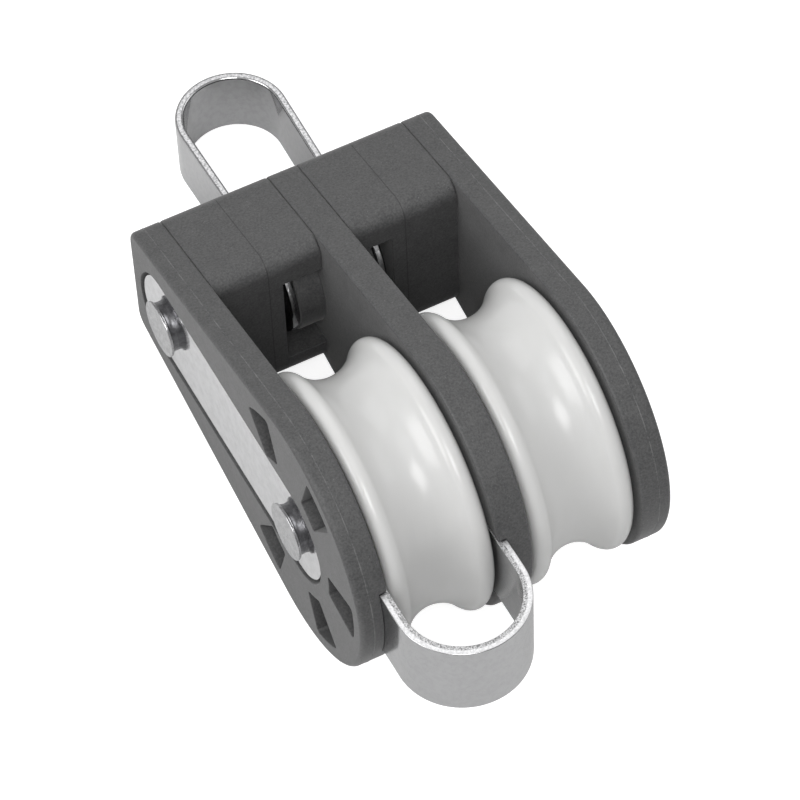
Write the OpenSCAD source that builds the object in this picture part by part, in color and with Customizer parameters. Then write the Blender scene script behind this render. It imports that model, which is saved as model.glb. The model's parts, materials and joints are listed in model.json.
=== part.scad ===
// Double pulley block: two sheaves side by side between three moulded cheeks, with a
// fixed eye at the head and a becket behind the left sheave.
// Everything is drawn in the block's own frame: X along the axle, Y from the axle to the
// head, Z across the sheaves. place() then lays the block down on the rims of its cheeks
// and the tip of its eye, as it comes to rest on a table.

/* [Sheaves] */
// Outer diameter of a sheave
sheave_d = 54; // [50:0.5:58]
// Width of a sheave across its rims
sheave_w = 21; // [18:0.5:24]
// Gap between a rim and the cheek beside it
sheave_side_gap = 0.67; // [0.4:0.05:1.2]
// Width of the rope groove between its edges
groove_w = 12.6; // [12:0.2:13]
// Depth of the rope groove below the rims
groove_depth = 4.2; // [3.8:0.1:4.6]
// Radius of the groove's round section
groove_r = 8.1; // [7.8:0.1:8.6]
// Radius of the rounded rims
rim_r = 2.1; // [1.8:0.1:2.2]
// Radius of the raised hub that runs against the cheeks
hub_r = 9.5; // [8:0.5:13]
// Gap between the hub and the becket's leg or the cheek beside it
hub_side_gap = 0.15; // [0.1:0.05:0.4]

/* [Cheeks] */
// Thickness of a cheek
cheek_t = 6.25; // [5.5:0.25:8]
// How far the cheeks' tails stand proud of the sheaves
tail_cover = 0.5; // [0.3:0.1:2]
// Distance from the axle to the back of the head
head_y = 68; // [65:0.2:72]
// Half height of the head at its back
head_half_h = 13.2; // [12.5:0.1:15]
// Radius of the head's back corners
head_corner_r = 3.6; // [2.8:0.1:4]
// Rounding of the block's outer edges
outer_edge_r = 1; // [0.6:0.1:1.4]
// Rounding of the edges at the joints and beside the sheaves
joint_edge_r = 0.5; // [0.3:0.1:0.8]

/* [Pockets in the outer cheeks] */
// Radius of the ring of pockets at its inner side
pocket_in_r = 14.5; // [14:0.25:18]
// Radius of the ring of pockets at its outer side
pocket_out_r = 24.2; // [21:0.25:25]
// Half the angle that one pocket takes
pocket_half_angle = 11; // [8:1:15]
// Rounding of the pockets' corners
pocket_corner_r = 1; // [0.4:0.1:1.2]
// Depth of the pockets
pocket_depth = 3; // [2:0.1:3.2]

/* [Head] */
// Length of the head spacers, from the back of the head forwards
spacer_l = 24.6; // [23:0.2:26]
// Radius of the spacers' upper front edges
spacer_front_r = 3.2; // [2.5:0.1:4]
// Radius of the spacers' lower front edges
spacer_low_r = 5; // [3:0.1:6]
// Half height of the slots for the eye's legs
slot_half_h = 11; // [10.6:0.1:11.5]
// Half the width across both slots
slot_half_w = 11.4; // [11.2:0.1:12]
// Distance from the back of the head to the head pin
head_pin_inset = 14.7; // [13:0.1:16]
// Radius of the centre cheek's bosses around the head pin
boss_r = 10.2; // [9:0.1:10.4]

/* [Side straps] */
// Width of a strap
strap_w = 20.7; // [18:0.1:21.5]
// Thickness of a strap
strap_t = 1.7; // [1.5:0.1:2]
// How far a strap lies below the cheek's face
strap_sunk = 0.35; // [0:0.05:0.5]
// Gap along each side of a strap
strap_side_gap = 0.25; // [0.1:0.05:0.4]
// Further gap at each round end of a strap
strap_end_gap = 0.45; // [0:0.05:0.6]

/* [Eye] */
// Outer radius of the eye's bow
eye_r = 11.2; // [10:0.05:11.4]
// Thickness of the eye's strip
eye_t = 1.7; // [1.5:0.1:2]
// Width of the eye's strip
eye_w = 14; // [12:0.5:16]
// Distance from the head pin to the centre of the bow
eye_reach = 35.5; // [30:0.5:42]
// Radius of the eye's round ends at the head pin
eye_end_r = 10.1; // [9:0.1:10.4]
// Angle at which the eye's legs close in towards the head pin
eye_taper = 1.4; // [0:0.1:2]
// Gap between the eye's round ends and the bosses
eye_gap = 0.1; // [0.05:0.05:0.2]

/* [Becket] */
// Thickness of the becket's strip
becket_t = 1.9; // [1.5:0.05:2]
// Depth of the channels in the cheeks for the becket's legs
becket_sunk = 1.65; // [1.5:0.05:2]
// Width of the becket's strip
becket_w = 17; // [14:0.5:19]
// Distance from the axle to the centre of the becket's bow
becket_reach = 32.7; // [31:0.1:40]
// Gap between the becket's legs and the sides of their channels
becket_gap = 0.3; // [0.1:0.05:0.5]

/* [Pins and bushes] */
// Diameter of the two pins
pin_d = 8; // [7:0.1:8.6]
// Radial gap around the pins
pin_gap = 0.05; // [0.02:0.01:0.1]
// Diameter of a riveted head at its outer rim
rivet_d = 11.4; // [10.5:0.1:13]
// Diameter of a riveted head where it meets the strap
rivet_neck_d = 10; // [9.4:0.1:10.4]
// Height of a riveted head
rivet_h = 1.9; // [1.5:0.1:2.4]
// Height of the riveted head's straight rim
rivet_rim_h = 0.7; // [0.4:0.1:1]
// Outer diameter of the bushes that the sheaves turn on
bush_d = 12; // [11:0.5:14]
// Radial running gap between a sheave and its bush
running_gap = 0.05; // [0.02:0.01:0.1]
// Gap at each end of a bush
bush_end_gap = 0.05; // [0.02:0.01:0.1]

/* [Hidden] */

cheek_colour = "#4a4b4d";
sheave_colour = "#eceded";
steel_colour = "#c3c6c9";

// How far a cutting body reaches past what it cuts
past = 1;
// Facets of the cheeks' tails, of small corners and of rounded edges
tail_fn = 120;
corner_fn = 32;
edge_fn = 16;
$fn = 96;

sheave_r = sheave_d / 2;
tail_r = sheave_r + tail_cover;
cheek_gap = sheave_w + 2 * sheave_side_gap;
sheave_x = (cheek_t + cheek_gap) / 2;
centre_face_x = cheek_t / 2;
inner_face_x = centre_face_x + cheek_gap;
outer_face_x = inner_face_x + cheek_t;
strap_face_x = outer_face_x - strap_sunk;
strap_floor_x = strap_face_x - strap_t;
pin_bore_r = pin_d / 2 + pin_gap;
spacer_front_y = head_y - spacer_l;
head_pin_y = head_y - head_pin_inset;
becket_r = cheek_gap / 2 + becket_sunk;
// Half the room along the axle for a hub or a bush, between the becket's legs or the cheeks
axle_half_room = min(cheek_gap / 2, becket_r - becket_t);

// The eye's legs run slightly inwards from the bow. They are this long, and their middle
// line crosses the head pin at eye_leg_x.
eye_mid_r = eye_r - eye_t / 2;
eye_leg_l = (eye_reach - eye_mid_r * sin(eye_taper)) / cos(eye_taper);
eye_leg_x = eye_mid_r * cos(eye_taper) - eye_leg_l * sin(eye_taper);

// Angle between each straight edge of a cheek and the block's long axis
taper = 90 - atan2(head_half_h, head_y) - acos(tail_r / norm([head_y, head_half_h]));

// Height of a circle of radius r, centred at y, that touches the straight edge from inside
function edge_z(y, r) = (tail_r - r - y * sin(taper)) / cos(taper);

// The block lies on its tail and on the lower edge of its eye's tip
eye_tip_y = head_pin_y + eye_reach + eye_r;
tilt = asin(tail_r / norm([eye_tip_y, eye_w / 2])) - atan2(eye_w / 2, eye_tip_y);
becket_tip_y = becket_reach + becket_r;
front_end = eye_tip_y * cos(tilt) + eye_w / 2 * sin(tilt);
tail_end = becket_tip_y * cos(tilt) + becket_w / 2 * sin(tilt);

module place() {
    translate([0, (tail_end - front_end) / 2, tail_r])
        rotate([-tilt, 0, 0])
            children();
}

// Turns a profile drawn with Y to the right and Z up into a plate from x0 to x1
module plate(x0, x1) {
    translate([x0, 0, 0])
        rotate([90, 0, 90])
            linear_extrude(x1 - x0)
                children();
}

module rod(x0, x1, r, y = 0) {
    plate(x0, x1)
        translate([y, 0])
            circle(r);
}

// Ring of round section whose outer rim has radius r and whose side lies at x
module edge_ring(x, side, y, z, r, edge) {
    translate([x - side * edge, y, z])
        rotate([0, 90, 0])
            rotate_extrude($fn = r > sheave_r / 2 ? tail_fn : corner_fn)
                translate([r - edge, 0])
                    circle(edge, $fn = edge_fn);
}

module cheek_blank(x0, x1, edge0, edge1) {
    back_y = head_y - head_corner_r;
    back_z = edge_z(back_y, head_corner_r);
    hull() {
        edge_ring(x0, -1, 0, 0, tail_r, edge0);
        edge_ring(x1, 1, 0, 0, tail_r, edge1);
        for (z = [-back_z, back_z]) {
            edge_ring(x0, -1, back_y, z, head_corner_r, edge0);
            edge_ring(x1, 1, back_y, z, head_corner_r, edge1);
        }
    }
}

module spacer_blank(x0, x1) {
    back_y = head_y - head_corner_r;
    hull() {
        for (end = [[x0, -1], [x1, 1]], up = [-1, 1]) {
            front_r = up > 0 ? spacer_front_r : spacer_low_r;
            front_y = spacer_front_y + front_r;
            edge_ring(end[0], end[1], front_y, up * edge_z(front_y, front_r), front_r,
                      joint_edge_r);
            edge_ring(end[0], end[1], back_y, up * edge_z(back_y, head_corner_r),
                      head_corner_r, joint_edge_r);
        }
    }
}

// Strip with full round ends, from y0 to y1
module stadium(y0, y1, r) {
    translate([y0, 0]) circle(r);
    translate([y1, 0]) circle(r);
    translate([y0, -r]) square([y1 - y0, 2 * r]);
}

module pin_bores(x0, x1) {
    rod(x0 - past, x1 + past, pin_bore_r);
    rod(x0 - past, x1 + past, pin_bore_r, head_pin_y);
}

// One sector pocket, centred on the angle a from the head
module pocket(a) {
    rotate(a)
        offset(pocket_corner_r, $fn = corner_fn)
            offset(-pocket_corner_r)
                intersection() {
                    difference() {
                        circle(pocket_out_r);
                        circle(pocket_in_r);
                    }
                    reach = 2 * pocket_out_r;
                    polygon([[0, 0],
                             reach * [cos(pocket_half_angle), -sin(pocket_half_angle)],
                             reach * [cos(pocket_half_angle), sin(pocket_half_angle)]]);
                }
}

// Right-hand outer cheek with its strap recess, pockets and pin bores
module outer_cheek() {
    recess_r = strap_w / 2 + strap_side_gap;
    difference() {
        cheek_blank(inner_face_x, outer_face_x, joint_edge_r, outer_edge_r);
        plate(strap_floor_x, outer_face_x + past)
            stadium(-strap_end_gap, head_pin_y + strap_end_gap, recess_r);
        plate(outer_face_x - pocket_depth, outer_face_x + past)
            for (a = [60 : 60 : 300]) pocket(a);
        pin_bores(inner_face_x, outer_face_x);
    }
}

// Channels for the becket's legs in the cheeks beside the left sheave
module becket_channels() {
    channel_r = becket_w / 2 + becket_gap;
    plate(-sheave_x - becket_r, -sheave_x + becket_r)
        stadium(-tail_r - 2 * channel_r, 0, channel_r);
}

module left_cheek() {
    color(cheek_colour) place() difference() {
        mirror([1, 0, 0]) outer_cheek();
        becket_channels();
    }
}

module right_cheek() {
    color(cheek_colour) place() outer_cheek();
}

module centre_cheek() {
    boss_x = eye_leg_x - eye_t / 2 - boss_r * sin(eye_taper) - eye_gap;
    color(cheek_colour) place() difference() {
        union() {
            cheek_blank(-centre_face_x, centre_face_x, joint_edge_r, joint_edge_r);
            rod(-boss_x, boss_x, boss_r, head_pin_y);
        }
        becket_channels();
        pin_bores(-boss_x, boss_x);
    }
}

// Right-hand head spacer, slotted at its inner end for the eye's leg
module spacer() {
    difference() {
        spacer_blank(centre_face_x, inner_face_x);
        plate(centre_face_x - past, slot_half_w)
            translate([spacer_front_y - past, -slot_half_h])
                square([head_y - spacer_front_y + 2 * past, 2 * slot_half_h]);
        rod(centre_face_x, inner_face_x + past, pin_bore_r, head_pin_y);
    }
}

module left_spacer() {
    color(cheek_colour) place() mirror([1, 0, 0]) spacer();
}

module right_spacer() {
    color(cheek_colour) place() spacer();
}

// Half section of a sheave, with the radius to the right and the width upwards: a concave
// groove between two crisp edges, and a rounded rim outside each edge
module sheave_section() {
    bore_r = bush_d / 2 + running_gap;
    hub_half_w = axle_half_room - hub_side_gap;
    rim_centre_r = sheave_r - rim_r;
    rim_centre_x = sheave_w / 2 - rim_r;
    groove_centre_r = sheave_r - groove_depth + groove_r;
    groove_edge_r = groove_centre_r - sqrt(pow(groove_r, 2) - pow(groove_w / 2, 2));
    difference() {
        union() {
            translate([bore_r, -sheave_w / 2])
                square([rim_centre_r - bore_r, sheave_w]);
            translate([bore_r, -rim_centre_x])
                square([groove_edge_r - bore_r, 2 * rim_centre_x]);
            translate([bore_r, -hub_half_w])
                square([hub_r - bore_r, 2 * hub_half_w]);
            for (side = [-1, 1])
                translate([rim_centre_r, side * rim_centre_x])
                    circle(rim_r);
        }
        translate([groove_centre_r, 0])
            circle(groove_r);
    }
}

module sheave(x) {
    color(sheave_colour) place()
        translate([x, 0, 0])
            rotate([0, 90, 0])
                rotate_extrude()
                    sheave_section();
}

module left_sheave() { sheave(-sheave_x); }
module right_sheave() { sheave(sheave_x); }

module bush(x) {
    half_l = axle_half_room - bush_end_gap;
    color(steel_colour) place() difference() {
        rod(x - half_l, x + half_l, bush_d / 2);
        rod(x - half_l - past, x + half_l + past, pin_bore_r);
    }
}

module left_bush() { bush(-sheave_x); }
module right_bush() { bush(sheave_x); }

// Right-hand side strap between the two pins
module strap() {
    difference() {
        plate(strap_floor_x, strap_face_x)
            stadium(0, head_pin_y, strap_w / 2);
        pin_bores(strap_floor_x, strap_face_x);
    }
}

module left_strap() {
    color(steel_colour) place() mirror([1, 0, 0]) strap();
}

module right_strap() {
    color(steel_colour) place() strap();
}

// Bend of a strip about the origin, from the X axis on, with outer radius r
module bow(r, strip_t, strip_w, angle) {
    translate([0, 0, -strip_w / 2])
        rotate_extrude(angle = angle)
            translate([r - strip_t, 0])
                square([strip_t, strip_w]);
}

// Right half of the eye about the centre of its bow: a round end, a leg and half the bow.
// The bow goes a little too far and is cut off square, so that both halves fit together.
module half_eye() {
    difference() {
        rotate(-eye_taper) {
            bow(eye_r, eye_t, eye_w, 95 + eye_taper);
            rod(eye_r - eye_t, eye_r, eye_end_r, -eye_leg_l);
            plate(eye_r - eye_t, eye_r)
                translate([-eye_leg_l, -eye_w / 2])
                    square([eye_leg_l, eye_w]);
        }
        translate([-eye_r, 0, -eye_w])
            cube([eye_r, 2 * eye_r, 2 * eye_w]);
    }
}

module head_eye() {
    color(steel_colour) place() difference() {
        translate([0, head_pin_y + eye_reach, 0]) union() {
            half_eye();
            mirror([1, 0, 0]) half_eye();
        }
        rod(-eye_r - past, eye_r + past, pin_bore_r, head_pin_y);
    }
}

module becket() {
    color(steel_colour) place() translate([-sheave_x, 0, 0]) difference() {
        union() {
            translate([0, -becket_reach, 0])
                rotate(180)
                    bow(becket_r, becket_t, becket_w, 180);
            for (x = [-becket_r, becket_r - becket_t]) {
                rod(x, x + becket_t, becket_w / 2);
                plate(x, x + becket_t)
                    translate([-becket_reach, -becket_w / 2])
                        square([becket_reach, becket_w]);
            }
        }
        rod(-becket_r - past, becket_r + past, pin_bore_r);
    }
}

// Pin riveted over both straps, drawn about its own axis
module riveted_pin() {
    end_x = strap_face_x + rivet_h;
    half = [[pin_d / 2, strap_face_x], [rivet_neck_d / 2, strap_face_x],
            [rivet_d / 2, end_x - rivet_rim_h], [rivet_d / 2, end_x], [0, end_x]];
    other_half = [for (i = [4 : -1 : 0]) [half[i][0], -half[i][1]]];
    rotate([0, 90, 0])
        rotate_extrude()
            polygon(concat(half, other_half));
}

module head_pin() {
    color(steel_colour) place() translate([0, head_pin_y, 0]) riveted_pin();
}

module axle_pin() {
    color(steel_colour) place() riveted_pin();
}

left_cheek();
centre_cheek();
right_cheek();
left_spacer();
right_spacer();
left_sheave();
right_sheave();
left_bush();
right_bush();
left_strap();
right_strap();
head_eye();
becket();
head_pin();
axle_pin();
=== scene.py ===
# %% [markdown]
# # A double pulley block, modelled and finished in Blender
#
# A double block leads a rope twice round two sheaves that share one axle. This one has moulded
# nylon cheeks, white acetal sheaves, and a frame of polished steel strip: a strap let into each
# side, an eye at the head and a becket behind the left sheave. The whole is held together by two
# riveted pins. The engineering model has every piece at its size. This script loads it, models
# each visible piece again with the soft edges and small marks that make it look real, and gives
# each one its finish.

# %% Load the engineering model
import json
import math

import bmesh
import bpy
from mathutils import Matrix, Vector


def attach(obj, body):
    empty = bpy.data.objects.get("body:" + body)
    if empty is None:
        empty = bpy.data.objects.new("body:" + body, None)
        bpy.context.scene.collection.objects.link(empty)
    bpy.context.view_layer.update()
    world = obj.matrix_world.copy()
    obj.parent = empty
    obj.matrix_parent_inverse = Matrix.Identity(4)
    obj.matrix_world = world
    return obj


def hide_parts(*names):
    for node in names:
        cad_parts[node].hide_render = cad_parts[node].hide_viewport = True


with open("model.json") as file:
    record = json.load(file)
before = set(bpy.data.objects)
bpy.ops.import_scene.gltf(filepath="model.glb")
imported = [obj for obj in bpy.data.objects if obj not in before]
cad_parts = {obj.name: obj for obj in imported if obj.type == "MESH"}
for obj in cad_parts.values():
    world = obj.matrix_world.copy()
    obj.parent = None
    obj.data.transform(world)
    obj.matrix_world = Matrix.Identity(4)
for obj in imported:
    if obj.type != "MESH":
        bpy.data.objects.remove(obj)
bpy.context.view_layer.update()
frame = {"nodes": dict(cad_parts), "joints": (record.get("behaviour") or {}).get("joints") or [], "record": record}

# %% [markdown]
# ## The block's own frame
#
# On the table the block tips forward onto the tip of its eye, so none of its faces is level. It is
# easier to model a thing square, in its own frame, and to lay it down at the end. The frame used
# here has X along the axle, Y from the axle to the head and Z across, in millimetres. One matrix
# takes it to the table: the axle's place comes from the joints and the tip from the eye's mount.
# Points closer than SAME_POINT millimetres count as one, and a cut takes points closer to its plane
# than ON_PLANE as lying on it.

# %% Find how the block lies
MM = 0.001
SAME_POINT = 1e-4
ON_PLANE = 1e-5
axle_ends = [Vector(joint["pos_m"]) for joint in frame["joints"]]
AXLE = sum(axle_ends, Vector()) / len(axle_ends)
eye_mount = next(mount for mount in frame["record"]["mounts"] if mount["name"] == "eye")
TILT = math.atan2(eye_mount["axis"][1], eye_mount["axis"][2])
PLACE = Matrix.Translation(AXLE) @ Matrix.Rotation(-TILT, 4, "X") @ Matrix.Scale(MM, 4)
SQUARE = PLACE.inverted()
print(f"the block dips {math.degrees(TILT):.2f} degrees towards its eye")


def span(node):
    """Lowest and highest corner of a CAD node, in the block's own millimetres."""
    points = [SQUARE @ vertex.co for vertex in frame["nodes"][node].data.vertices]
    low = Vector([min(point[axis] for point in points) for axis in range(3)])
    high = Vector([max(point[axis] for point in points) for axis in range(3)])
    return low, high


# %% Read the main sizes from the model
cheek_low, cheek_high = span("right_cheek")
INNER_X = cheek_low.x
OUTER_X = cheek_high.x
TAIL_R = cheek_high.z
HEAD_Y = cheek_high.y
spacer_low = span("right_spacer")[0]
CENTRE_X = spacer_low.x
SPACER_FRONT_Y = spacer_low.y
strap_low, strap_high = span("right_strap")
STRAP_FLOOR_X = strap_low.x
STRAP_FACE_X = strap_high.x
STRAP_R = strap_high.z
HEAD_PIN_Y = strap_high.y - STRAP_R
eye_high = span("head_eye")[1]
EYE_R = eye_high.x
EYE_END_R = eye_high.z
EYE_BOW_Y = eye_high.y - EYE_R
becket_low, becket_high = span("becket")
BECKET_R = (becket_high.x - becket_low.x) / 2
BECKET_HALF_W = becket_high.z
BECKET_BOW_Y = becket_low.y + BECKET_R
SHEAVE_X = (CENTRE_X + INNER_X) / 2
SHEAVE_R = span("right_sheave")[1].z
RIVET_R = span("head_pin")[1].z
RIVET_END_X = span("head_pin")[1].x
BOSS_X = span("centre_cheek")[1].x
print(f"cheeks {OUTER_X - INNER_X:.2f} mm thick, sheaves {2 * SHEAVE_R:.1f} mm across")
print(f"the head pin is {HEAD_PIN_Y:.1f} mm from the axle")

# %% [markdown]
# ## Outlines that are tight bands round circles
#
# A cheek's outline is a big round tail, two straight edges and two small round corners. That is
# the shape a rubber band takes round three discs, so the outline needs no point list. Rings of
# vertices are set in two planes, a convex hull closes the band, and a limited dissolve merges the
# flat triangles, which leaves one face for each side and a clean rim to bevel.

# %% Helper: a plate inside a band round circles
QUARTER_TURN = math.radians(90)
ACROSS_X = Matrix.Rotation(QUARTER_TURN, 4, "Y")
FACET_MM = 1.1
FEWEST_FACETS = 40
HULL_FLAT_ANGLE = math.radians(0.3)


def segments_for(radius):
    """How many segments keep a circle's facets short."""
    wanted = math.ceil(2 * math.pi * radius / FACET_MM / 4) * 4
    return max(FEWEST_FACETS, wanted)


def drop_loose_edges(bm):
    """Deletes the edges that no face uses."""
    bmesh.ops.delete(bm, geom=[edge for edge in bm.edges if not edge.link_faces], context="EDGES")


def band_plate(circles, x0, x1):
    """Plate from x0 to x1 inside the band round circles, each given as y, z and radius."""
    bm = bmesh.new()
    for x in (x0, x1):
        for y, z, radius in circles:
            where = Matrix.Translation((x, y, z)) @ ACROSS_X
            bmesh.ops.create_circle(bm, radius=radius, segments=segments_for(radius), matrix=where)
    bmesh.ops.convex_hull(bm, input=bm.verts)
    inside = [vertex for vertex in bm.verts if not vertex.link_faces]
    bmesh.ops.delete(bm, geom=inside, context="VERTS")
    drop_loose_edges(bm)
    bmesh.ops.dissolve_limit(bm, angle_limit=HULL_FLAT_ANGLE, verts=bm.verts, edges=bm.edges)
    return bm


def rim_edges(bm, x):
    """The edges that lie in the plane at x."""
    return [edge for edge in bm.edges if all(abs(v.co.x - x) < SAME_POINT for v in edge.verts)]


def round_edges(bm, edges, radius, steps):
    """Rounds edges with a circular bevel."""
    bmesh.ops.bevel(
        bm,
        geom=edges,
        offset=radius,
        offset_type="OFFSET",
        segments=steps,
        profile=0.5,
        affect="EDGES",
        clamp_overlap=True,
        material=-1,
    )


def split_at(bm, x):
    """Cuts every face that crosses the plane at x in two."""
    bmesh.ops.bisect_plane(
        bm,
        geom=bm.verts[:] + bm.edges[:] + bm.faces[:],
        dist=ON_PLANE,
        plane_co=(x, 0, 0),
        plane_no=(1, 0, 0),
    )


# %% [markdown]
# ## From a bmesh to a finished piece
#
# Every piece ends the same way: it is laid down with the block's matrix, its faces are turned
# outwards, and it becomes an object that rides on a body of the model and stands for the nodes it
# replaces. Faces are shaded smooth and only the edges that are really sharp are marked so. Holes
# and pockets are cut with boolean modifiers, which are applied at once, because the cutters must
# not stay in the scene. A boolean leaves slivers along its cut, so a cut piece has its nearly
# coincident points merged and its flat faces joined before its crisp edges are rounded.

# %% Helpers: make, cut and finish pieces
SHARP_ANGLE = math.radians(38)
CRISP_ANGLE = math.radians(50)
FLAT_ANGLE = math.radians(0.1)
SLIVER = 0.01
SOFT_EDGE = 0.22
SOFT_STEPS = 2
LARGE_FACES_FIRST = 80


def as_object(bm, name):
    """Turns a bmesh into an object, still in the block's own millimetres."""
    bmesh.ops.recalc_face_normals(bm, faces=bm.faces)
    mesh = bpy.data.meshes.new(name)
    bm.to_mesh(mesh)
    bm.free()
    obj = bpy.data.objects.new(name, mesh)
    bpy.context.scene.collection.objects.link(obj)
    return obj


def apply_modifiers(obj):
    """Replaces an object's mesh by what its modifiers make of it."""
    ready = obj.evaluated_get(bpy.context.evaluated_depsgraph_get())
    mesh = bpy.data.meshes.new_from_object(ready)
    obj.modifiers.clear()
    obj.data = mesh


def combine(obj, other_bm, operation):
    """Cuts an object with a bmesh or joins them, and drops the tool."""
    tool = as_object(other_bm, "tool")
    modifier = obj.modifiers.new("combine", "BOOLEAN")
    modifier.operation = operation
    modifier.solver = "EXACT"
    modifier.object = tool
    apply_modifiers(obj)
    bpy.data.objects.remove(tool)


def soften(obj):
    """Takes the sharpness off every edge that is still crisp, after merging what the cuts left."""
    bm = bmesh.new()
    bm.from_mesh(obj.data)
    bmesh.ops.remove_doubles(bm, verts=bm.verts, dist=SLIVER)
    bmesh.ops.dissolve_limit(bm, angle_limit=FLAT_ANGLE, verts=bm.verts, edges=bm.edges)
    bm.to_mesh(obj.data)
    bm.free()
    modifier = obj.modifiers.new("soften", "BEVEL")
    modifier.width = SOFT_EDGE
    modifier.segments = SOFT_STEPS
    modifier.limit_method = "ANGLE"
    modifier.angle_limit = CRISP_ANGLE
    modifier.use_clamp_overlap = False
    apply_modifiers(obj)


def finish(obj, body, nodes, materials):
    """Lays a piece on the table, shades it and puts it in the place of its CAD nodes."""
    bm = bmesh.new()
    bm.from_mesh(obj.data)
    bmesh.ops.remove_doubles(bm, verts=bm.verts, dist=SAME_POINT)
    bmesh.ops.transform(bm, matrix=PLACE, verts=bm.verts)
    bmesh.ops.recalc_face_normals(bm, faces=bm.faces)
    for face in bm.faces:
        face.smooth = True
    for edge in bm.edges:
        edge.smooth = len(edge.link_faces) == 2 and edge.calc_face_angle() < SHARP_ANGLE
    bm.to_mesh(obj.data)
    bm.free()
    weighted = obj.modifiers.new("even shading", "WEIGHTED_NORMAL")
    weighted.keep_sharp = True
    weighted.weight = LARGE_FACES_FIRST
    for material in materials:
        obj.data.materials.append(material)
    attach(obj, body)
    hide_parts(*nodes)
    triangles = sum(len(polygon.vertices) - 2 for polygon in obj.data.polygons)
    print(f"{obj.name}: {triangles} triangles")


# %% [markdown]
# ## Materials: helpers
#
# A colour is written as the hex value one would pick in a paint program, and one function turns it
# into the linear numbers that the renderer mixes. A second function adds a shader node with its
# settings and links, so that each material below reads as a list of what it is made of. Pattern
# sizes are given in millimetres on the real block.

# %% Helpers: colours and nodes


def linear(hex_colour):
    """Linear RGBA of an sRGB hex colour."""
    channels = [int(hex_colour[i : i + 2], 16) / 255 for i in (1, 3, 5)]
    bent = [c / 12.92 if c <= 0.04045 else ((c + 0.055) / 1.055) ** 2.4 for c in channels]
    return (*bent, 1.0)


def add(material, kind, inputs=None, **settings):
    """Adds a node to a material, sets it up and links what feeds it."""
    node = material.node_tree.nodes.new(kind)
    for name, value in settings.items():
        setattr(node, name, value)
    for socket, value in (inputs or {}).items():
        if isinstance(value, bpy.types.NodeSocket):
            material.node_tree.links.new(value, node.inputs[socket])
        else:
            node.inputs[socket].default_value = value
    return node


def per_feature(size_mm):
    """Scale of a noise whose features are about so many millimetres long."""
    return 1 / (size_mm * MM)


def new_material(name):
    """An empty node material with its shader and the piece's own coordinates."""
    material = bpy.data.materials.new(name)
    material.use_nodes = True
    shader = material.node_tree.nodes["Principled BSDF"]
    place = add(material, "ShaderNodeTexCoord").outputs["Object"]
    print(f"material {name}")
    return material, shader, place


# %% [markdown]
# ## Glass-filled nylon
#
# The cheeks and spacers are injection moulded from nylon filled with short glass fibres, in a
# spark-eroded mould. That gives an even, dry-looking grain, a soft broad sheen, and a faint
# mottle where fibres lie near the skin. The grain is a fine noise used as bump, about half a
# millimetre across so that it shows at this distance, and a wider noise shifts colour and gloss.
# Here and there the end of a fibre shows as a light fleck. The spacers' sunken parting lines are
# painted darker, as painted shade in their grooves, and the thin flash on the rims is rubbed lighter,
# with less even wear.

# %% Make the nylon
GRAIN_MM = 0.42
MOTTLE_MM = 3.0
FLECK_MM = 0.9
FLECK_SHARE = 0.09
FLECK_TONE = "#b0b0b0"
GRAIN_DEPTH = 0.05 * MM


def make_nylon(name, dark, light, uneven):
    """Nylon between two tones; uneven says how much the wide mottle counts against the grain."""
    material, shader, place = new_material(name)
    grain = add(
        material,
        "ShaderNodeTexNoise",
        {"Vector": place, "Scale": per_feature(GRAIN_MM), "Detail": 3.0, "Roughness": 0.7},
    )
    mottle = add(
        material,
        "ShaderNodeTexNoise",
        {"Vector": place, "Scale": per_feature(MOTTLE_MM), "Detail": 4.0, "Roughness": 0.6},
    )
    shade = add(
        material,
        "ShaderNodeMath",
        {0: mottle.outputs["Fac"], 1: uneven, 2: grain.outputs["Fac"]},
        operation="MULTIPLY_ADD",
    )
    tone = add(
        material,
        "ShaderNodeMapRange",
        {"Value": shade.outputs[0], "From Min": 0.3 + uneven / 2, "From Max": 0.7 + uneven / 2},
    )
    base = add(
        material,
        "ShaderNodeMix",
        {"Factor": tone.outputs["Result"], "A": linear(dark), "B": linear(light)},
        data_type="RGBA",
    )
    fibre = add(
        material,
        "ShaderNodeTexVoronoi",
        {"Vector": place, "Scale": per_feature(FLECK_MM), "Randomness": 1.0},
    )
    fleck = add(
        material,
        "ShaderNodeMapRange",
        {"Value": fibre.outputs["Distance"], "From Min": FLECK_SHARE, "From Max": 0.0, "To Max": 0.5},
    )
    flecked = add(
        material,
        "ShaderNodeMix",
        {"Factor": fleck.outputs["Result"], "A": base.outputs["Result"], "B": linear(FLECK_TONE)},
        data_type="RGBA",
    )
    gloss = add(
        material,
        "ShaderNodeMapRange",
        {
            "Value": mottle.outputs["Fac"],
            "From Min": 0.35,
            "From Max": 0.65,
            "To Min": 0.52,
            "To Max": 0.62,
        },
    )
    bump = add(
        material,
        "ShaderNodeBump",
        {"Height": grain.outputs["Fac"], "Strength": 0.7, "Distance": GRAIN_DEPTH},
    )
    links = material.node_tree.links
    links.new(flecked.outputs["Result"], shader.inputs["Base Color"])
    links.new(gloss.outputs["Result"], shader.inputs["Roughness"])
    links.new(bump.outputs["Normal"], shader.inputs["Normal"])
    shader.inputs["IOR"].default_value = 1.53
    shader.inputs["Specular IOR Level"].default_value = 0.55
    shader.inputs["Sheen Weight"].default_value = 0.2
    shader.inputs["Sheen Roughness"].default_value = 0.4
    return material


nylon = make_nylon("glass_filled_nylon", "#383839", "#555555", 0.35)
# Painted shade: a darker nylon for the sunken parting line, standing for the shade in its groove.
seam_painted_shade = make_nylon("nylon_painted_seam_shade", "#2a2a2b", "#3e3e3e", 0.35)
worn_nylon = make_nylon("worn_nylon_flash", "#404041", "#686868", 1.4)

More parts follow.
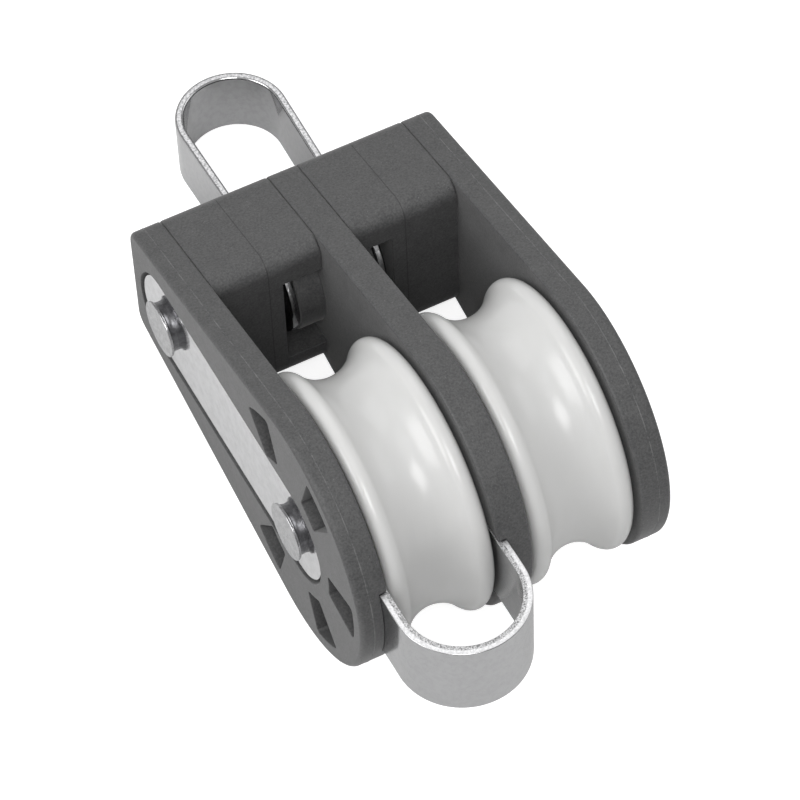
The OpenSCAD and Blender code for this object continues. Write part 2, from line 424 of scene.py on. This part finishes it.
# %% [markdown]
# ## Moulded acetal
#
# Sheaves are moulded from white acetal, a hard and waxy plastic. It lets a little light in, so
# its shadows stay soft, and its skin is smooth with a satin gloss. Scattering below the surface
# gives that, and a very wide noise shifts the tone a little, as the flow in the mould does. The
# roughness is the same all over, because noise in it would draw thin lines along the highlights.

# %% Make the acetal
FLOW_MM = 14.0
SCATTER_MM = 2.5


def make_acetal():
    """White plastic that light enters a little way."""
    material, shader, place = new_material("moulded_acetal")
    flow = add(
        material,
        "ShaderNodeTexNoise",
        {"Vector": place, "Scale": per_feature(FLOW_MM), "Detail": 2.0, "Roughness": 0.5},
    )
    mixed = add(
        material,
        "ShaderNodeMix",
        {"Factor": flow.outputs["Fac"], "A": linear("#cbcbca"), "B": linear("#d3d3d2")},
        data_type="RGBA",
    )
    links = material.node_tree.links
    links.new(mixed.outputs["Result"], shader.inputs["Base Color"])
    shader.inputs["Roughness"].default_value = 0.22
    shader.inputs["IOR"].default_value = 1.48
    shader.inputs["Subsurface Weight"].default_value = 0.4
    shader.inputs["Subsurface Radius"].default_value = (1.0, 1.0, 0.95)
    shader.inputs["Subsurface Scale"].default_value = SCATTER_MM * MM
    return material


acetal = make_acetal()

# %% [markdown]
# ## Polished stainless steel
#
# Straps, eye and becket are stainless strip, polished before it was cut and bent. The sheet is
# never quite flat, so what it mirrors is gently wavy: a low bump some millimetres wide. Bending
# and handling leave fine scuffs, which a small noise brings into the roughness. The cut edges
# are other finishes: on the becket the shear leaves a bright band and a torn, grainy one, and on
# the eye both are rolled smooth. The pins are turned, and the flares under their riveted heads
# are painted darker and duller: a painted reflection of the dark cheek they face. So one function
# makes them all, from two tones, the roughness where the steel is smooth and where it is dull, the
# length and depth of its waves, and the length of its scuffs, both in millimetres.

# %% Make the steel finishes
WAVE_MM = 7.0
SCUFF_MM = 1.1
TEAR_MM = 0.3


def make_steel(name, dark, light, smooth, dull, wave_mm, wave_depth_mm, scuff_mm):
    """Steel with gentle waves and fine scuffs."""
    material, shader, place = new_material(name)
    wave = add(
        material,
        "ShaderNodeTexNoise",
        {"Vector": place, "Scale": per_feature(wave_mm), "Detail": 2.0, "Roughness": 0.5},
    )
    scuff = add(
        material,
        "ShaderNodeTexNoise",
        {"Vector": place, "Scale": per_feature(scuff_mm), "Detail": 4.0, "Roughness": 0.65},
    )
    tone = add(
        material,
        "ShaderNodeMapRange",
        {"Value": scuff.outputs["Fac"], "From Min": 0.35, "From Max": 0.6},
    )
    colour = add(
        material,
        "ShaderNodeMix",
        {"Factor": tone.outputs["Result"], "A": linear(dark), "B": linear(light)},
        data_type="RGBA",
    )
    gloss = add(
        material,
        "ShaderNodeMapRange",
        {
            "Value": scuff.outputs["Fac"],
            "From Min": 0.3,
            "From Max": 0.7,
            "To Min": dull,
            "To Max": smooth,
        },
    )
    bump = add(
        material,
        "ShaderNodeBump",
        {"Height": wave.outputs["Fac"], "Strength": 0.5, "Distance": wave_depth_mm * MM},
    )
    links = material.node_tree.links
    links.new(colour.outputs["Result"], shader.inputs["Base Color"])
    links.new(gloss.outputs["Result"], shader.inputs["Roughness"])
    links.new(bump.outputs["Normal"], shader.inputs["Normal"])
    shader.inputs["Metallic"].default_value = 1.0
    return material


polished = make_steel("polished_stainless", "#bababb", "#c0c0c1", 0.14, 0.24, WAVE_MM, 0.15, SCUFF_MM)
sheared = make_steel("burnished_edge", "#c6c6c7", "#e0e0e1", 0.25, 0.35, 1.5, 0.05, 0.4)
rolled = make_steel("rolled_edge", "#98989a", "#c6c6c7", 0.16, 0.26, 1.5, 0.04, 0.5)
torn = make_steel("torn_edge", "#6a6a6b", "#e6e6e7", 0.35, 0.6, TEAR_MM, 0.12, TEAR_MM)
mirrored = make_steel("mirror_stainless", "#bababb", "#c4c4c5", 0.04, 0.09, WAVE_MM, 0.03, SCUFF_MM)
strap_steel = make_steel("strap_stainless", "#d4d4d5", "#e4e4e5", 0.07, 0.12, WAVE_MM, 0.03, 1.8)
turned = make_steel("turned_stainless", "#aaaaab", "#c4c4c5", 0.18, 0.28, 3.0, 0.01, 0.7)
# Painted reflection: the flare of each pin is made dark and dull, as if it mirrored the dark cheek.
flare_dark_reflection = make_steel("flare_painted_dark_reflection", "#646466", "#7a7a7c", 0.3, 0.38, 3.0, 0.01, 0.7)

# %% [markdown]
# ## The cheeks
#
# Each cheek is a flat moulded plate. Its outer edge is well rounded for the hand and the rope, and
# the edge beside a sheave only slightly. The mould parts part way through the thickness and leaves
# a thin bead of flash round the rim. In bmesh that is two cuts by a plane, and the strip of faces
# between them is inset and lifted by a few hundredths of a millimetre.

# %% Sizes of the cheeks
HEAD_HALF_H = 13.2
HEAD_CORNER_R = 3.6
OUTER_EDGE_R = 1.0
JOINT_EDGE_R = 0.5
RIM_STEPS = 5
FLASH_W = 0.22
FLASH_H = 0.05
corner_bearing = math.atan2(HEAD_HALF_H, HEAD_Y)
corner_distance = math.hypot(HEAD_HALF_H, HEAD_Y)
TAPER = QUARTER_TURN - corner_bearing - math.acos(TAIL_R / corner_distance)
print(f"each cheek edge tapers {math.degrees(TAPER):.1f} degrees")


def edge_z(y, radius):
    """Height at which a circle centred at y touches the cheek's straight edge from inside."""
    return (TAIL_R - radius - y * math.sin(TAPER)) / math.cos(TAPER)


def cheek_plate(x0, x1, radius0, radius1):
    """Cheek between two planes, with rounded rims."""
    back_y = HEAD_Y - HEAD_CORNER_R
    back_z = edge_z(back_y, HEAD_CORNER_R)
    circles = [(0, 0, TAIL_R), (back_y, back_z, HEAD_CORNER_R), (back_y, -back_z, HEAD_CORNER_R)]
    bm = band_plate(circles, x0, x1)
    round_edges(bm, rim_edges(bm, x0), radius0, RIM_STEPS)
    round_edges(bm, rim_edges(bm, x1), radius1, RIM_STEPS)
    return bm


def add_flash(bm, x, height=FLASH_H):
    """Raises a thin bead round the rim at x, or sinks a line where the height is negative."""
    split_at(bm, x - FLASH_W / 2)
    split_at(bm, x + FLASH_W / 2)
    strip = [face for face in bm.faces if abs(face.calc_center_median().x - x) < FLASH_W / 4]
    bmesh.ops.inset_region(
        bm,
        faces=strip,
        thickness=FLASH_W / 4,
        depth=height,
        use_boundary=True,
        use_even_offset=True,
    )


def mark_line(obj, x):
    """Gives the faces of the flash or the parting line at x the piece's second material."""
    for polygon in obj.data.polygons:
        if abs(polygon.center.x - x) < FLASH_W / 2:
            polygon.material_index = 1


# %% [markdown]
# ## Recess, pockets and channels
#
# The straps lie in a recess that is a little longer than they are, which leaves a dark crescent
# at each end. Five pockets save plastic round the axle: each is a block swept round the axle, so
# a spin makes it. The becket's legs lie in channels in the two faces beside the left sheave.
# Every cutter reaches past the face that it opens, because a boolean is unsure about faces that
# coincide.

# %% Cutters for the cheeks
PAST = 1.0
RECESS_SIDE_GAP = 0.25
RECESS_END_GAP = 0.45
POCKET_IN_R = 14.5
POCKET_OUT_R = 24.2
POCKET_HALF_ANGLE = math.radians(11)
POCKET_DEPTH = 3.0
POCKET_CORNER_R = 1.0
POCKET_CORNER_STEPS = 4
POCKET_STEPS = 8
CORNER_ANGLE = math.radians(60)
BECKET_GAP = 0.3


def strap_recess():
    """Tool that cuts the recess of the right-hand strap."""
    radius = STRAP_R + RECESS_SIDE_GAP
    circles = [(-RECESS_END_GAP, 0, radius), (HEAD_PIN_Y + RECESS_END_GAP, 0, radius)]
    return band_plate(circles, STRAP_FLOOR_X, OUTER_X + PAST)


def pocket(angle):
    """Tool that cuts one pocket of the right-hand cheek, centred on an angle from the head."""
    bm = bmesh.new()
    depth = POCKET_DEPTH + PAST
    length = POCKET_OUT_R - POCKET_IN_R
    middle = Vector((OUTER_X + PAST - depth / 2, (POCKET_IN_R + POCKET_OUT_R) / 2, 0))
    where = Matrix.Translation(middle) @ Matrix.Diagonal((depth, length, 1, 1))
    bmesh.ops.create_grid(bm, x_segments=1, y_segments=1, size=0.5, matrix=where)
    turn = Matrix.Rotation(angle - POCKET_HALF_ANGLE, 4, "X")
    bmesh.ops.transform(bm, matrix=turn, verts=bm.verts)
    bmesh.ops.spin(
        bm,
        geom=bm.verts[:] + bm.edges[:] + bm.faces[:],
        axis=(1, 0, 0),
        cent=(0, 0, 0),
        angle=2 * POCKET_HALF_ANGLE,
        steps=POCKET_STEPS,
    )
    bmesh.ops.remove_doubles(bm, verts=bm.verts, dist=SAME_POINT)
    bmesh.ops.recalc_face_normals(bm, faces=bm.faces)
    uprights = [
        edge
        for edge in bm.edges
        if abs(edge.verts[0].co.x - edge.verts[1].co.x) > PAST and edge.calc_face_angle() > CORNER_ANGLE
    ]
    round_edges(bm, uprights, POCKET_CORNER_R, POCKET_CORNER_STEPS)
    return bm


def becket_channel():
    """Tool that cuts both channels of the becket's legs."""
    radius = BECKET_HALF_W + BECKET_GAP
    circles = [(0, 0, radius), (-2 * TAIL_R, 0, radius)]
    return band_plate(circles, -SHEAVE_X - BECKET_R, -SHEAVE_X + BECKET_R)


# %% Model the two outer cheeks
POCKET_ANGLES = [math.radians(a) for a in range(60, 301, 60)]
OUTER_FLASH_SHARE = 0.42
OUTER_FLASH_X = OUTER_X - OUTER_FLASH_SHARE * (OUTER_X - INNER_X)


def outer_cheek(name):
    """Right-hand outer cheek, before it is mirrored or placed."""
    bm = cheek_plate(INNER_X, OUTER_X, JOINT_EDGE_R, OUTER_EDGE_R)
    add_flash(bm, OUTER_FLASH_X)
    obj = as_object(bm, name)
    combine(obj, strap_recess(), "DIFFERENCE")
    for angle in POCKET_ANGLES:
        combine(obj, pocket(angle), "DIFFERENCE")
    return obj


def mirror_x(obj):
    """Mirrors a piece to the left-hand side of the block."""
    obj.data.transform(Matrix.Scale(-1, 4, (1, 0, 0)))
    obj.data.flip_normals()


cheek_right = outer_cheek("cheek_right")
soften(cheek_right)
mark_line(cheek_right, OUTER_FLASH_X)
finish(cheek_right, "frame", ["right_cheek"], [nylon, worn_nylon])

cheek_left = outer_cheek("cheek_left")
mirror_x(cheek_left)
combine(cheek_left, becket_channel(), "DIFFERENCE")
soften(cheek_left)
mark_line(cheek_left, -OUTER_FLASH_X)
finish(cheek_left, "frame", ["left_cheek"], [nylon, worn_nylon])

# %% [markdown]
# ## The centre cheek
#
# The middle plate stands between the sheaves. Two round bosses carry the head pin through it, and
# hold the eye's legs apart. They are one disc through the plate, joined to it with a boolean. Its
# flash is lower than on the outer cheeks, and hardly worn.

# %% Model the centre cheek
BOSS_R = 10.2
CENTRE_FLASH_H = 0.03


def centre_cheek(name):
    """Plate with a boss on each side, and a channel for the becket's leg."""
    bm = cheek_plate(-CENTRE_X, CENTRE_X, JOINT_EDGE_R, JOINT_EDGE_R)
    add_flash(bm, 0, CENTRE_FLASH_H)
    obj = as_object(bm, name)
    combine(obj, band_plate([(HEAD_PIN_Y, 0, BOSS_R)], -BOSS_X, BOSS_X), "UNION")
    combine(obj, becket_channel(), "DIFFERENCE")
    soften(obj)
    return obj


cheek_centre = centre_cheek("cheek_centre")
finish(cheek_centre, "frame", ["centre_cheek"], [nylon])

# %% [markdown]
# ## The head spacers
#
# Between the cheeks sit two moulded blocks that fill the head. Their front edges are well rounded,
# because the rope may touch them, and their sides are softened, so that a V-shaped line shows
# where they meet the cheeks. The mould parted along the middle of each block and left a thin
# sunken line, whose faces are painted darker: painted shade in the groove.

# %% Model the head spacers
SPACER_FRONT_R = 3.2
SPACER_LOW_R = 5.0
SLOT_HALF_H = 11.0
SLOT_HALF_W = 11.4
SPACER_STEPS = 4
PARTING_DEPTH = 0.04


def slot_tool():
    """Tool that cuts the slot for the eye's leg into the right-hand spacer."""
    bm = bmesh.new()
    low = Vector((CENTRE_X - PAST, SPACER_FRONT_Y - PAST, -SLOT_HALF_H))
    high = Vector((SLOT_HALF_W, HEAD_Y + PAST, SLOT_HALF_H))
    where = Matrix.Translation((low + high) / 2) @ Matrix.Diagonal((*(high - low), 1))
    bmesh.ops.create_cube(bm, size=1, matrix=where)
    return bm


def head_spacer(name):
    """Right-hand spacer, before it is mirrored or placed."""
    circles = []
    for up, front_r in ((1, SPACER_FRONT_R), (-1, SPACER_LOW_R)):
        front_y = SPACER_FRONT_Y + front_r
        back_y = HEAD_Y - HEAD_CORNER_R
        circles.append((front_y, up * edge_z(front_y, front_r), front_r))
        circles.append((back_y, up * edge_z(back_y, HEAD_CORNER_R), HEAD_CORNER_R))
    bm = band_plate(circles, CENTRE_X, INNER_X)
    for x in (CENTRE_X, INNER_X):
        round_edges(bm, rim_edges(bm, x), JOINT_EDGE_R, SPACER_STEPS)
    add_flash(bm, SHEAVE_X, -PARTING_DEPTH)
    obj = as_object(bm, name)
    combine(obj, slot_tool(), "DIFFERENCE")
    soften(obj)
    # The parting line's faces get the darker nylon, painted shade in the sunken line.
    mark_line(obj, SHEAVE_X)
    return obj


finish(head_spacer("spacer_right"), "frame", ["right_spacer"], [nylon, seam_painted_shade])
spacer_left = head_spacer("spacer_left")
mirror_x(spacer_left)
finish(spacer_left, "frame", ["left_spacer"], [nylon, seam_painted_shade])

# %% [markdown]
# ## The sheaves
#
# A sheave is a turned shape, so its half section is spun round the axle. The section is drawn from
# arcs: the concave rope groove and the rounded rims. The groove's radius is chosen so that the two
# arcs touch without a corner, as the rope's way must be smooth: their centres are then exactly the
# sum of both radii apart.

# %% Helpers: draw a section and spin it round an axis along X
def arc(centre, radius, start, end, steps):
    """Points on an arc, with angles in degrees, as (x, radius from the axle) pairs."""
    angles = [math.radians(start + (end - start) * step / steps) for step in range(steps + 1)]
    return [(centre[0] + radius * math.cos(a), centre[1] + radius * math.sin(a)) for a in angles]


def both_halves(half):
    """Closes half a section, which starts at x = 0, with its mirror image."""
    return half + [(-x, radius) for x, radius in reversed(half[1:])]


def spun(section, x, y, steps):
    """Turns a closed section, moved to x, round the line at y; a side on the axis is left out."""
    bm = bmesh.new()
    ring = [bm.verts.new((x + point[0], y, point[1])) for point in section]
    for this, following in zip(ring, ring[1:] + ring[:1]):
        if max(this.co.z, following.co.z) > 0:
            bm.edges.new((this, following))
    bmesh.ops.spin(
        bm,
        geom=bm.verts[:] + bm.edges[:],
        axis=(1, 0, 0),
        cent=(0, y, 0),
        angle=2 * math.pi,
        steps=steps,
        use_merge=True,
    )
    bmesh.ops.remove_doubles(bm, verts=bm.verts, dist=SAME_POINT)
    return bm


# %% Model the sheaves
SHEAVE_HALF_W = 10.5
RIM_R = 2.1
GROOVE_DEPTH = 4.2
HUB_R = 9.5
HUB_GAP = 0.4
SHEAVE_BORE_R = 6.05
SHEAVE_STEPS = 180
GROOVE_ARC_STEPS = 14
RIM_ARC_STEPS = 20


def sheave(name, x):
    """Sheave with a groove, round rims and a raised hub that runs against the cheeks."""
    rim_x = SHEAVE_HALF_W - RIM_R
    rim_r = SHEAVE_R - RIM_R
    drop = GROOVE_DEPTH - RIM_R
    groove_r = (rim_x**2 + drop**2 - RIM_R**2) / (2 * GROOVE_DEPTH)
    groove_y = SHEAVE_R - GROOVE_DEPTH + groove_r
    half_angle = math.degrees(math.atan2(rim_x, groove_y - rim_r))
    hub_x = INNER_X - SHEAVE_X - HUB_GAP
    half = arc((0, groove_y), groove_r, -90, -90 + half_angle, GROOVE_ARC_STEPS)
    half += arc((rim_x, rim_r), RIM_R, 90 + half_angle, 0, RIM_ARC_STEPS)
    half += [(SHEAVE_HALF_W, HUB_R), (hub_x, HUB_R), (hub_x, SHEAVE_BORE_R)]
    print(f"{name}: groove of {groove_r:.1f} mm radius")
    return as_object(spun(both_halves(half), x, 0, SHEAVE_STEPS), name)


finish(sheave("acetal_sheave_left", -SHEAVE_X), "left_sheave_body", ["left_sheave"], [acetal])
finish(sheave("acetal_sheave_right", SHEAVE_X), "right_sheave_body", ["right_sheave"], [acetal])

# %% [markdown]
# ## Bent strips: the eye and the becket
#
# Both are one strip of steel bent round a former. A flat section is spun half a turn for the bow,
# and the two end faces are pulled straight back to make the legs. Each leg ends in a disc round its
# pin, joined on with a boolean. The edges are rounded before that, while the mesh is still a clean
# grid, because a bevel tears on the slivers that a boolean leaves. The section is split halfway
# through its thickness, so that the cut edges can have one finish outside and another inside. The
# becket's hidden discs are a little larger than its strip is wide, so that they meet it cleanly.

# %% Model the eye and the becket
EYE_T = 1.7
EYE_HALF_W = 7.0
BECKET_T = 1.9
EYE_TAPER = math.radians(1.4)
EYE_EDGE_R = 0.5
BECKET_EDGE_R = 0.2
BECKET_END_EXTRA = 0.15
EDGE_STEPS = 3
BOW_STEPS = 64
FACES_UP = 0.95
FACES_EDGEWAYS = 0.1


def bent_strip(name, reach, radius, thickness, half_w, end_r, taper, edge_r):
    """Strip bent to a bow about the origin, with its legs towards -Y and closing in by the taper."""
    bm = bmesh.new()
    middle = radius - thickness / 2
    leg_l = (reach - middle * math.sin(taper)) / math.cos(taper)
    lean = Matrix.Rotation(-taper, 4, "Z")
    upright = Matrix.Rotation(QUARTER_TURN, 4, "X")
    stretch = Matrix.Diagonal((thickness, 2 * half_w, 1, 1))
    where = lean @ Matrix.Translation((middle, 0, 0)) @ upright @ stretch
    bmesh.ops.create_grid(bm, x_segments=2, y_segments=1, size=0.5, matrix=where)
    first = bm.faces[:]
    made = bmesh.ops.spin(
        bm,
        geom=bm.verts[:] + bm.edges[:] + first,
        axis=(0, 0, 1),
        cent=(0, 0, 0),
        angle=math.pi + 2 * taper,
        steps=BOW_STEPS,
        use_duplicate=False,
    )
    last = [item for item in made["geom_last"] if isinstance(item, bmesh.types.BMFace)]
    for ends, side in ((first, 1), (last, -1)):
        leg = bmesh.ops.extrude_face_region(bm, geom=ends)["geom"]
        moved = [item for item in leg if isinstance(item, bmesh.types.BMVert)]
        along = Vector((-side * math.sin(taper), -math.cos(taper), 0)) * leg_l
        bmesh.ops.translate(bm, vec=along, verts=moved)
        bmesh.ops.delete(bm, geom=ends, context="FACES_ONLY")
    bmesh.ops.remove_doubles(bm, verts=bm.verts, dist=SAME_POINT)
    drop_loose_edges(bm)
    end_y = min(vertex.co.y for vertex in bm.verts) + thickness / 2
    cut_edges = [
        edge
        for edge in bm.edges
        if edge.calc_face_angle() > CORNER_ANGLE and max(v.co.y for v in edge.verts) > end_y
    ]
    round_edges(bm, cut_edges, edge_r, EDGE_STEPS)
    obj = as_object(bm, name)
    for side in (-1, 1):
        x0, x1 = sorted((side * radius, side * (radius - thickness)))
        disc = band_plate([(-leg_l, 0, end_r)], x0, x1)
        round_edges(disc, rim_edges(disc, x0) + rim_edges(disc, x1), edge_r, EDGE_STEPS)
        split_at(disc, (x0 + x1) / 2)
        bmesh.ops.transform(disc, matrix=Matrix.Rotation(-side * taper, 4, "Z"), verts=disc.verts)
        combine(obj, disc, "UNION")
    return obj


def mark_edges(obj, radius, thickness, half_w, taper):
    """Second material for the outer half of the cut edges, third for the inner half."""
    for polygon in obj.data.polygons:
        x, y, z = polygon.center
        side = math.copysign(1, x)
        across = x * side * math.cos(taper) - y * math.sin(taper)
        offset = math.hypot(x, y) if y > -abs(x) * math.tan(taper) else across
        faces_out = abs(polygon.normal.x * math.cos(taper) - side * polygon.normal.y * math.sin(taper))
        on_bow_edge = abs(polygon.normal.z) > FACES_UP
        on_round_end = y < -half_w and faces_out < FACES_EDGEWAYS
        if on_bow_edge or on_round_end:
            polygon.material_index = 1 if offset > radius - thickness / 2 else 2


eye_reach = EYE_BOW_Y - HEAD_PIN_Y
eye = bent_strip("eye_strip", eye_reach, EYE_R, EYE_T, EYE_HALF_W, EYE_END_R, EYE_TAPER, EYE_EDGE_R)
mark_edges(eye, EYE_R, EYE_T, EYE_HALF_W, EYE_TAPER)
eye.data.transform(Matrix.Translation((0, EYE_BOW_Y, 0)))
finish(eye, "frame", ["head_eye"], [mirrored, rolled, rolled])

becket_end_r = BECKET_HALF_W + BECKET_END_EXTRA
becket = bent_strip(
    "becket_strip", -BECKET_BOW_Y, BECKET_R, BECKET_T, BECKET_HALF_W, becket_end_r, 0, BECKET_EDGE_R
)
mark_edges(becket, BECKET_R, BECKET_T, BECKET_HALF_W, 0)
becket.data.transform(Matrix.Rotation(math.pi, 4, "Z"))
becket.data.transform(Matrix.Translation((-SHEAVE_X, BECKET_BOW_Y, 0)))
finish(becket, "frame", ["becket"], [polished, sheared, torn])

# %% [markdown]
# ## Straps and pins
#
# The straps are flat strips with full round ends, so they are bands round two circles. A pin is a
# turned shape. Its ends are riveted over: each head is a thin disc, slightly dished, on a hollow
# flare that narrows to the strap, and the polished strap mirrors it. The flare is painted darker
# and duller, a painted reflection of the dark cheek.

# %% Model the straps
STRAP_EDGE_R = 0.25
for side, name, node in ((1, "side_strap_right", "right_strap"), (-1, "side_strap_left", "left_strap")):
    bm = band_plate([(0, 0, STRAP_R), (HEAD_PIN_Y, 0, STRAP_R)], STRAP_FLOOR_X, STRAP_FACE_X)
    round_edges(bm, rim_edges(bm, STRAP_FACE_X), STRAP_EDGE_R, EDGE_STEPS)
    strap = as_object(bm, name)
    if side < 0:
        mirror_x(strap)
    finish(strap, "frame", [node], [strap_steel])

# %% Model the pins
PIN_R = 4.0
FLARE_FOOT_R = 4.9
FLARE_TOP_X = RIVET_END_X - 0.55
FLARE_TOP_R = RIVET_R - 0.12
FLARE_STEPS = 8
HEAD_EDGE_R = 0.15
HEAD_EDGE_STEPS = 4
DISH_R = 1.2
DISH_DEPTHS = (0.02, 0.06)
PIN_STEPS = 96


def rivet_half():
    """Right half of a riveted pin's section, as (x, radius) points from its middle."""
    rise = FLARE_TOP_X - STRAP_FACE_X
    reach = FLARE_TOP_R - FLARE_FOOT_R
    points = [(0, PIN_R), (STRAP_FACE_X, PIN_R), (STRAP_FACE_X, FLARE_FOOT_R)]
    for step in range(1, FLARE_STEPS + 1):
        turn = QUARTER_TURN * step / FLARE_STEPS
        points.append((STRAP_FACE_X + rise * math.sin(turn), FLARE_FOOT_R + reach * (1 - math.cos(turn))))
    edge_centre = (RIVET_END_X - HEAD_EDGE_R, RIVET_R - HEAD_EDGE_R)
    points += arc(edge_centre, HEAD_EDGE_R, 90, 0, HEAD_EDGE_STEPS)
    points += [(RIVET_END_X - DISH_DEPTHS[0], DISH_R), (RIVET_END_X - DISH_DEPTHS[1], 0)]
    return points


for name, node, y in (("riveted_head_pin", "head_pin", HEAD_PIN_Y), ("riveted_axle_pin", "axle_pin", 0)):
    pin = as_object(spun(both_halves(rivet_half()), 0, y, PIN_STEPS), name)
    # The flare's faces take the second material, a painted dark reflection.
    for polygon in pin.data.polygons:
        if STRAP_FACE_X + SAME_POINT < abs(polygon.center.x) < FLARE_TOP_X:
            polygon.material_index = 1
    finish(pin, "frame", [node], [turned, flare_dark_reflection])

# %% Finish the bushes, which stay as the model has them
for node in ("left_bush", "right_bush"):
    bush = frame["nodes"][node]
    bush.data.materials.clear()
    bush.data.materials.append(turned)
    print(f"{node}: {bush.data.materials[0].name}")

# %% [markdown]
# ## Camera
#
# The photograph was taken from well above, in front and to the left, with a long lens. The numbers
# are a fit to the block's outline. The camera is slightly rolled, and it aims at a point near the
# middle of the block.

# %% Set up the camera
CAMERA_AZIMUTH = math.radians(-34.672)
CAMERA_ELEVATION = math.radians(63.105)
CAMERA_ROLL = math.radians(8.374)
CAMERA_DISTANCE = 0.8112
CAMERA_AIM = Vector((-0.00212, -0.01157, 0.0275))
FOCAL_PIXELS = 4399.6
PICTURE_PIXELS = 800
SENSOR_MM = 36.0

back = Vector(
    (
        math.sin(CAMERA_AZIMUTH) * math.cos(CAMERA_ELEVATION),
        -math.cos(CAMERA_AZIMUTH) * math.cos(CAMERA_ELEVATION),
        math.sin(CAMERA_ELEVATION),
    )
)
camera_data = bpy.data.cameras.new("camera")
camera_data.sensor_width = SENSOR_MM
camera_data.lens = FOCAL_PIXELS / PICTURE_PIXELS * SENSOR_MM
camera = bpy.data.objects.new("camera", camera_data)
bpy.context.scene.collection.objects.link(camera)
level = (-back).to_track_quat("-Z", "Y").to_matrix().to_4x4()
camera.matrix_world = (
    Matrix.Translation(CAMERA_AIM + CAMERA_DISTANCE * back) @ level @ Matrix.Rotation(CAMERA_ROLL, 4, "Z")
)
bpy.context.scene.camera = camera
print(f"lens {camera_data.lens:.0f} mm")

# %% [markdown]
# ## Floor and light
#
# The block lies on a pale sweep in a plain studio: five square softboxes stand round it, and a
# white sky fills the rest. The one on the left lights the cheek's face, the one in front draws the
# highlights on the sheaves, and the one at the back stands where the strips' cut edges mirror it
# into the camera. The floor glows to the camera, so it looks white, and the steel mirrors a little
# of that glow. The floor is lit as well, so it keeps the block's soft shadow.

# %% Make the floor
FLOOR_SIZE = 4.0
FLOOR_TONE = "#d0d0d0"
FLOOR_ROUGHNESS = 0.9
FLOOR_GLOW = 0.8
FLOOR_MIRRORED_GLOW = 0.06


def make_floor():
    """Pale floor that glows to the camera, and a little to rays that metal mirrors."""
    bm = bmesh.new()
    bmesh.ops.create_grid(bm, x_segments=1, y_segments=1, size=FLOOR_SIZE / 2)
    floor = as_object(bm, "floor")
    material, shader, _ = new_material("white_sweep")
    shader.inputs["Base Color"].default_value = linear(FLOOR_TONE)
    shader.inputs["Roughness"].default_value = FLOOR_ROUGHNESS
    rays = add(material, "ShaderNodeLightPath")
    mirrored = add(
        material,
        "ShaderNodeMath",
        {0: rays.outputs["Is Glossy Ray"], 1: rays.outputs["Is Transmission Ray"]},
        operation="MAXIMUM",
    )
    dim = add(
        material,
        "ShaderNodeMath",
        {0: mirrored.outputs[0], 1: FLOOR_MIRRORED_GLOW},
        operation="MULTIPLY",
    )
    glow = add(
        material,
        "ShaderNodeMath",
        {0: rays.outputs["Is Camera Ray"], 1: FLOOR_GLOW, 2: dim.outputs[0]},
        operation="MULTIPLY_ADD",
    )
    material.node_tree.links.new(glow.outputs[0], shader.inputs["Emission Strength"])
    shader.inputs["Emission Color"].default_value = linear("#ffffff")
    floor.data.materials.append(material)


make_floor()

# %% Make the sky and the lamps
SKY_STRENGTH = 0.46
sky = bpy.data.worlds.new("white_sky")
bpy.context.scene.world = sky
sky.use_nodes = True
background = sky.node_tree.nodes["Background"]
background.inputs["Color"].default_value = linear("#ffffff")
background.inputs["Strength"].default_value = SKY_STRENGTH

# Azimuth and elevation in degrees, power in watts and width in metres
LAMP_DISTANCE = 1.2
LAMPS = {
    "left_softbox": (-98, 32, 6.4, 0.7),
    "right_softbox": (95, 35, 1.5, 0.7),
    "back_softbox": (166, 43, 2.2, 0.8),
    "top_softbox": (-120, 78, 0.7, 0.6),
    "front_softbox": (-33, 62, 5.2, 0.5),
}


def soft_lamp(name, azimuth, elevation, watts, size):
    """Square area lamp that faces the block; azimuth 0 is the front and -90 the left."""
    turn, lift = math.radians(azimuth), math.radians(elevation)
    outward = Vector((math.sin(turn) * math.cos(lift), -math.cos(turn) * math.cos(lift), math.sin(lift)))
    data = bpy.data.lights.new(name, "AREA")
    data.energy = watts
    data.size = size
    lamp = bpy.data.objects.new(name, data)
    lamp.location = CAMERA_AIM + LAMP_DISTANCE * outward
    lamp.rotation_euler = outward.to_track_quat("Z", "Y").to_euler()
    bpy.context.scene.collection.objects.link(lamp)


for name, settings in LAMPS.items():
    soft_lamp(name, *settings)
print(f"{len(LAMPS)} softboxes, {LAMP_DISTANCE} m from the block")

bpy.context.scene.view_settings.view_transform = "Standard"
